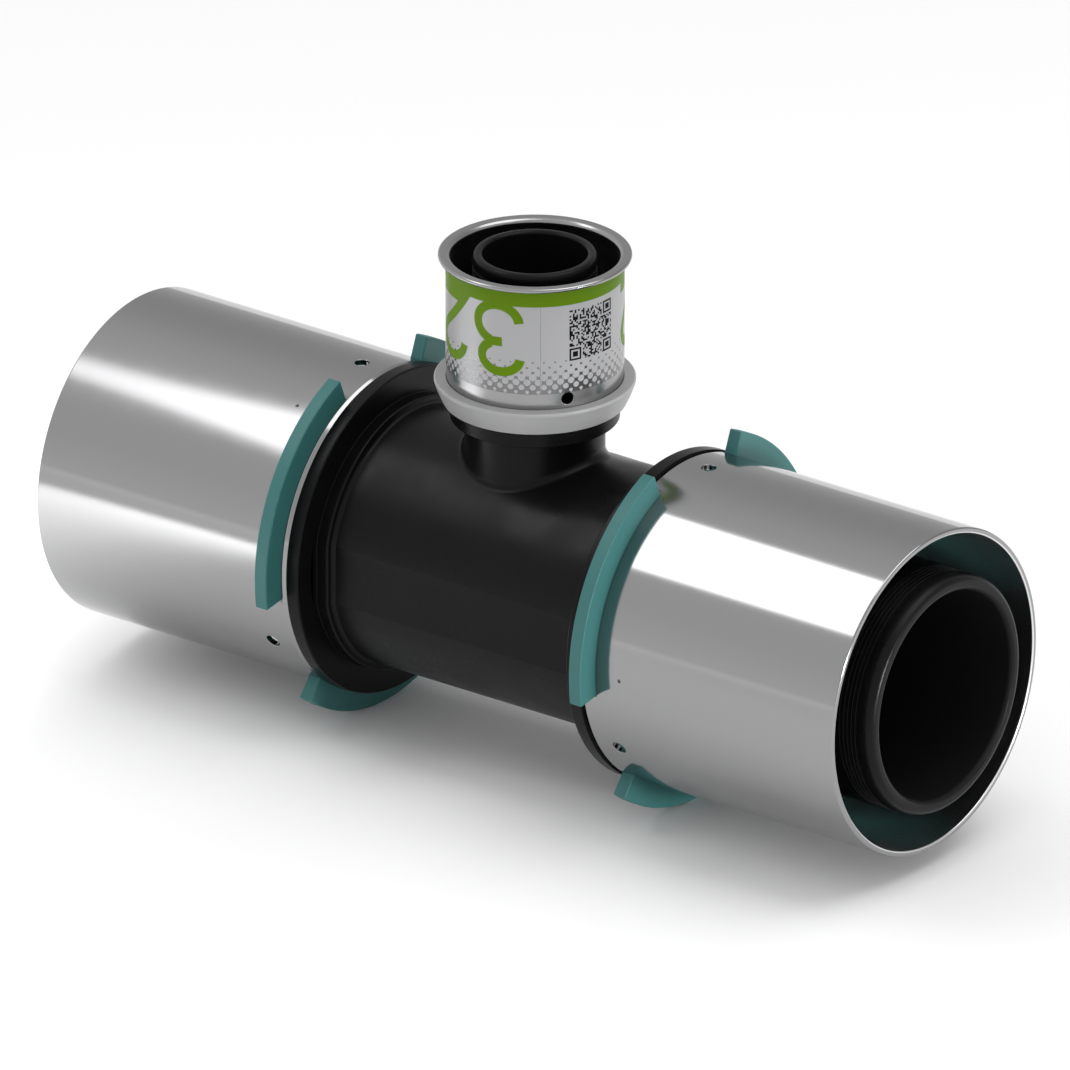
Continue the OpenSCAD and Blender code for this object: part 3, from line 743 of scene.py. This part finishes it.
for node, axis, place, radius, cord in (
    ("run_o_ring_right_inner", right_run, run_rings_at[0], run_cord_r, run_cord),
    ("run_o_ring_right_outer", right_run, run_rings_at[1], run_cord_r, run_cord),
    ("run_o_ring_left_inner", left_run, run_rings_at[0], run_cord_r, run_cord),
    ("run_o_ring_left_outer", left_run, run_rings_at[1], run_cord_r, run_cord),
    ("branch_o_ring_lower", branch, branch_rings_at[0], branch_cord_r, branch_cord),
    ("branch_o_ring_upper", branch, branch_rings_at[1], branch_cord_r, branch_cord),
):
    make_piece(node + "_cord", o_ring(axis, place, radius, cord), seal_rubber, [node])

# Branch press sleeve.
# A thinner steel sleeve with its foot rolled in under the stop ring, its mouth flared flat and
# three sight holes punched just above the ring.
branch_sleeve_r, branch_sleeve_in_r = 17.93, 17.03
foot_in, foot_in_r, foot_to, flare_from = 38.6, 16.33, 39.5, 68.3
flare_in, flare_out, flare_r = 69.0, branch_tip, 19.65
branch_sight_in, branch_sight_out, branch_sight_half, branch_sight_r = 43.0, 47.0, 2.0, 1.3


def branch_sleeve():
    """Sheets of the branch sleeve: pierced outer and inner wall, flared mouth and rolled foot."""
    half = np.degrees(branch_sight_half / branch_sleeve_r)
    holes = [(branch_sight_in, branch_sight_out, middle - half, middle + half) for middle in (59, 179, 299)]
    turns = divided(np.concatenate([[0, 360], *[np.linspace(hole[2], hole[3], 9) for hole in holes]]), 3.0)
    along_holes = np.linspace(branch_sight_in, branch_sight_out, 9)
    places = divided(np.concatenate([[foot_to, flare_from], along_holes]), 6.0)
    holes = [tuple(np.round(hole, 6)) for hole in holes]
    sheets = tube_wall(branch, places, turns, branch_sleeve_r, 1, holes)
    sheets += tube_wall(branch, places, turns, branch_sleeve_in_r, -1, holes)
    for hole in holes:
        sheets += drilled_hole(
            branch, hole, places, turns, branch_sight_r, branch_sleeve_r, branch_sleeve_in_r, edge=0.1
        )
    mouth = rounded_line([
        (flare_from, branch_sleeve_r, 0), (flare_in, branch_sleeve_r, 0.4),
        (flare_in, flare_r, 0.499), (flare_out, flare_r, 0.499),
        (flare_out, branch_sleeve_in_r, 1.1), (flare_from, branch_sleeve_in_r, 0),
    ], steps=6)
    foot = rounded_line([
        (foot_to, branch_sleeve_in_r, 0), (foot_to, foot_in_r, 0.05), (foot_in, foot_in_r, 0.05),
        (foot_in, branch_sleeve_r, 0.5), (foot_to, branch_sleeve_r, 0),
    ])
    return sheets + [turned(branch, mouth, turns), turned(branch, foot, turns)]


branch_steel, tree, shader = studio_material("branch_steel", 0.12, Metallic=1.0, Base_Color=steel_colour)
grained(tree, shader, pitch=0.12, low=0.2, high=0.27, height=0.0002, stretch=(60, 60, 1))
make_piece("branch_sleeve_tube", branch_sleeve(), branch_steel, ["branch_sleeve"])

# Branch stop ring.
# A pale grey moulded ring that clips over the collar and flares up round the foot of the sleeve,
# so that the sleeve can't slide off before it is pressed.
ring_foot, ring_foot_r, ring_top, ring_top_r, ring_in_r = 37.8, 18.6, 43.0, 20.45, 17.98
waist_at, waist_r, rim_from, skirt_r = 39.98, 19.62, 42.3, 17.25
lip_from, lip_to, lip_r = 38.0, 38.6, 16.98
ring_line = rounded_line([
    (ring_foot, skirt_r, 0.1), (ring_foot, ring_foot_r, 0.3), (waist_at, waist_r, 6.0),
    (rim_from, ring_top_r, 1.0), (ring_top, ring_top_r, 0.4), (ring_top, ring_in_r, 0.15),
    (lip_to, ring_in_r, 0.1), (lip_to, lip_r, 0.05), (lip_from, lip_r, 0.05), (lip_from, skirt_r, 0.05),
], closed=True)
pale_plastic, tree, shader = studio_material("pale_plastic", 0.38, Base_Color=(0.32, 0.32, 0.322, 1))
grained(tree, shader, pitch=0.2, low=0.34, high=0.42, height=0.006)
ring_sheet = turned(branch, ring_line, np.linspace(0, 360, 181))
make_piece("branch_stop_ring_moulding", [ring_sheet], pale_plastic, ["branch_stop_ring"])

# Marking film.
# A printed plastic film wrapped once round the branch sleeve, with its seam at the front. Its silver
# field breaks up into round dots towards the foot, and between them the film is clear.
film_r, film_foot, film_top = 18.08, 46.4, 68.6
seam_turn, half_seam, film_end = 41.0, np.degrees(0.1 / film_r), 0.03
dot_columns, dot_pitch, dots_from, dots_to = 50, 2.2, 46.75, 53.35
least_dot, dot_growth, dot_power, dot_edge, field_from = 0.3, 0.67, 0.4, 0.04, dots_to + 0.55
clear_film, silver_print = (0.2, 0.2, 0.202, 1), (0.365, 0.365, 0.373, 1)
film_line = rounded_line([
    (film_foot, branch_sleeve_r, 0.02), (film_foot, film_r, 0.05),
    (film_top, film_r, 0.05), (film_top, branch_sleeve_r, 0.02),
], closed=True)
film_print, tree, shader = studio_material("film_print", 0.35)
x, y, z = split(tree, tree.nodes.new("ShaderNodeTexCoord").outputs["Object"])
up_film = maths(tree, "DIVIDE", z, mm)
film_turn = maths(tree, "ARCTAN2", x, maths(tree, "MULTIPLY", y, -1.0))
column = maths(tree, "MULTIPLY", film_turn, dot_columns / (2 * np.pi))
row = maths(tree, "MULTIPLY_ADD", up_film, 1 / dot_pitch, 0.25)


def off_dot(shift):
    """Distance in millimetres to the nearest dot of the rows that start at the shift."""
    sides = []
    for count, pitch in ((column, 2 * np.pi * film_r / dot_columns), (row, dot_pitch)):
        part = maths(tree, "FRACT", maths(tree, "ADD", count, shift))
        sides.append(maths(tree, "MULTIPLY", maths(tree, "SUBTRACT", part, 0.5), pitch))
    squares = [maths(tree, "MULTIPLY", side, side) for side in sides]
    return maths(tree, "SQRT", maths(tree, "ADD", *squares))


# A dot's radius grows from its least as a power of the height, and above the dots all is printed
share_up = maths(tree, "POWER", ranged(tree, up_film, dots_from, dots_to, 0.0, 1.0, smooth=False), dot_power)
dot_r = maths(tree, "MULTIPLY_ADD", share_up, dot_growth, least_dot)
within = maths(tree, "SUBTRACT", dot_r, maths(tree, "MINIMUM", off_dot(0.0), off_dot(0.5)))
dots = maths(tree, "DIVIDE", within, dot_edge, clamp=True)
printed = maths(tree, "MAXIMUM", dots, maths(tree, "GREATER_THAN", up_film, field_from))
tree.links.new(mixed_colour(tree, printed, clear_film, silver_print), shader.inputs["Base Color"])
tree.links.new(ranged(tree, printed, 0.0, 1.0, 1.0, 0.25, smooth=False), shader.inputs["Metallic"])
varied = grained(tree, shader, pitch=0.5, low=0.32, high=0.42, height=0.0008)
mixed_roughness = tree.nodes.new("ShaderNodeMix")
mixed_roughness.inputs[2].default_value = 0.2
tree.links.new(printed, mixed_roughness.inputs[0])
tree.links.new(varied, mixed_roughness.inputs[3])
tree.links.new(mixed_roughness.outputs[0], shader.inputs["Roughness"])
film_sheets = swept(branch, film_line, seam_turn + half_seam, seam_turn + 360 - half_seam, film_end, film_r)
make_piece("marking_film_print", film_sheets, film_print, ["marking_film"])


def ink_on_film(face, rim, height):
    """A thin layer of ink from flat drawings in millimetres of girth and height: its face, which is
    a grid, and its rim, which is a closed line that keeps the ink on its right. Turn = girth / radius."""
    layer_r, to_turn = film_r + height, np.degrees(1 / film_r)
    along = unit(np.gradient(rim, axis=0))
    radii = np.array([[film_r - 0.01], [layer_r]])
    return [
        about(branch, face[..., 1], layer_r, face[..., 0] * to_turn, (0, 1, 0)),
        about(branch, rim[:, 1], radii, rim[:, 0] * to_turn, (along[:, 0], 0, -along[:, 1])),
    ]


def stroke(centre_line, height, width=1.95):
    """A stroke of ink: the centre line moved by up to half the width to its left and right."""
    line = np.array(centre_line, float)
    along = unit(np.gradient(line, axis=0))
    side = np.stack([-along[:, 1], along[:, 0]], 1) * width / 2
    face = line + side * np.linspace(-1, 1, 5)[:, None, None]
    return ink_on_film(face, np.vstack([face[-1], face[0][::-1], face[-1][:1]]), height)


def oval(centre, half, turn_from, turn_to):
    """Part of an ellipse: centre + half width cos a, centre + half height sin a."""
    a = np.radians(np.linspace(turn_from, turn_to, 40))
    return np.stack([centre[0] + half[0] * np.cos(a), centre[1] + half[1] * np.sin(a)], 1)


# The size is printed twice, upside down, in strokes that hang from a band of the same green. Strokes
# that cross lie a few thousandths of a millimetre apart
ink_height, stroke_pitch = 0.02, 156.5 * np.radians(film_r)
band_foot, band_top, base_width = 65.5, 68.55, 2.3
green_ink, tree, shader = studio_material(
    "green_ink", 0.35, Specular_IOR_Level=0.1, Base_Color=(0.102, 0.198, 0.001, 1)
)
grained(tree, shader, pitch=0.5, low=0.32, high=0.42, height=0.0008)
band_girth = np.linspace(0, 2 * np.pi * film_r, 181)
band_face = np.stack([np.stack([band_girth, np.full(181, z)], 1) for z in (band_foot, band_top)])
ink_sheets = ink_on_film(band_face, band_face[0], ink_height)[:1]
base = np.linspace((-14.7, 64.45), (-5.0, 64.45), 9)
tail, _ = bent_line((-13.65, 54.8), (-13.65, 55.9), (-10.7, 58.2), 12)
rise, _ = bent_line((-10.7, 58.2), (-6.7, 61.3), (-3.6, 66.0), 16)
two = np.vstack([oval((-9.1, 54.8), (4.55, 3.85), -4, -180), tail[1:], rise[1:]])
upper_bow, lower_bow = oval((4.0, 61.4), (4.6, 4.0), 5, 250), oval((4.6, 54.1), (4.2, 3.2), 120, 355)
waist = np.linspace((2.3, 57.35), (5.0, 57.45), 5)
for shift in ([0, 0], [stroke_pitch, 0]):
    ink_sheets += stroke(base + shift, 0.023, base_width)
    ink_sheets += stroke(upper_bow + shift, 0.026)
    ink_sheets += stroke(lower_bow + shift, 0.03)
    ink_sheets += stroke(waist + shift, 0.034)
    ink_sheets += stroke(two + shift, 0.026)
make_piece("size_print_green", ink_sheets, green_ink, [])

# A square pattern is printed beside the seam: random squares, with plain frames in three corners
square, pattern_girth, pattern_foot = 0.38, 18.95, 53.2
squares = np.random.default_rng(4).random((29, 29)) < 0.49
off_middle = abs(np.arange(8) - 3)
frame_mark = np.maximum(off_middle[:, None], off_middle)
frame_mark = (frame_mark < 2) | (frame_mark == 3)
squares[:8, :8], squares[:8, -8:], squares[-8:, -8:] = frame_mark, frame_mark[:, ::-1], frame_mark[::-1, ::-1]
row_at, column_at = (v[:, None, None] for v in np.nonzero(squares))
girth = pattern_girth + square * (column_at + np.array([[0, 1], [0, 1]]))
up_sleeve = pattern_foot + square * (row_at + np.array([[0, 0], [1, 1]]))
points, normals = about(branch, up_sleeve, film_r + ink_height, np.degrees(girth / film_r), (0, 1, 0))
black_ink, tree, shader = studio_material(
    "black_ink", 0.4, Specular_IOR_Level=0.05, Base_Color=(0.005, 0.005, 0.005, 1)
)
grained(tree, shader, pitch=0.5, low=0.34, high=0.46, height=0.0008)
make_piece("code_print_black", list(zip(points, normals)), black_ink, [])
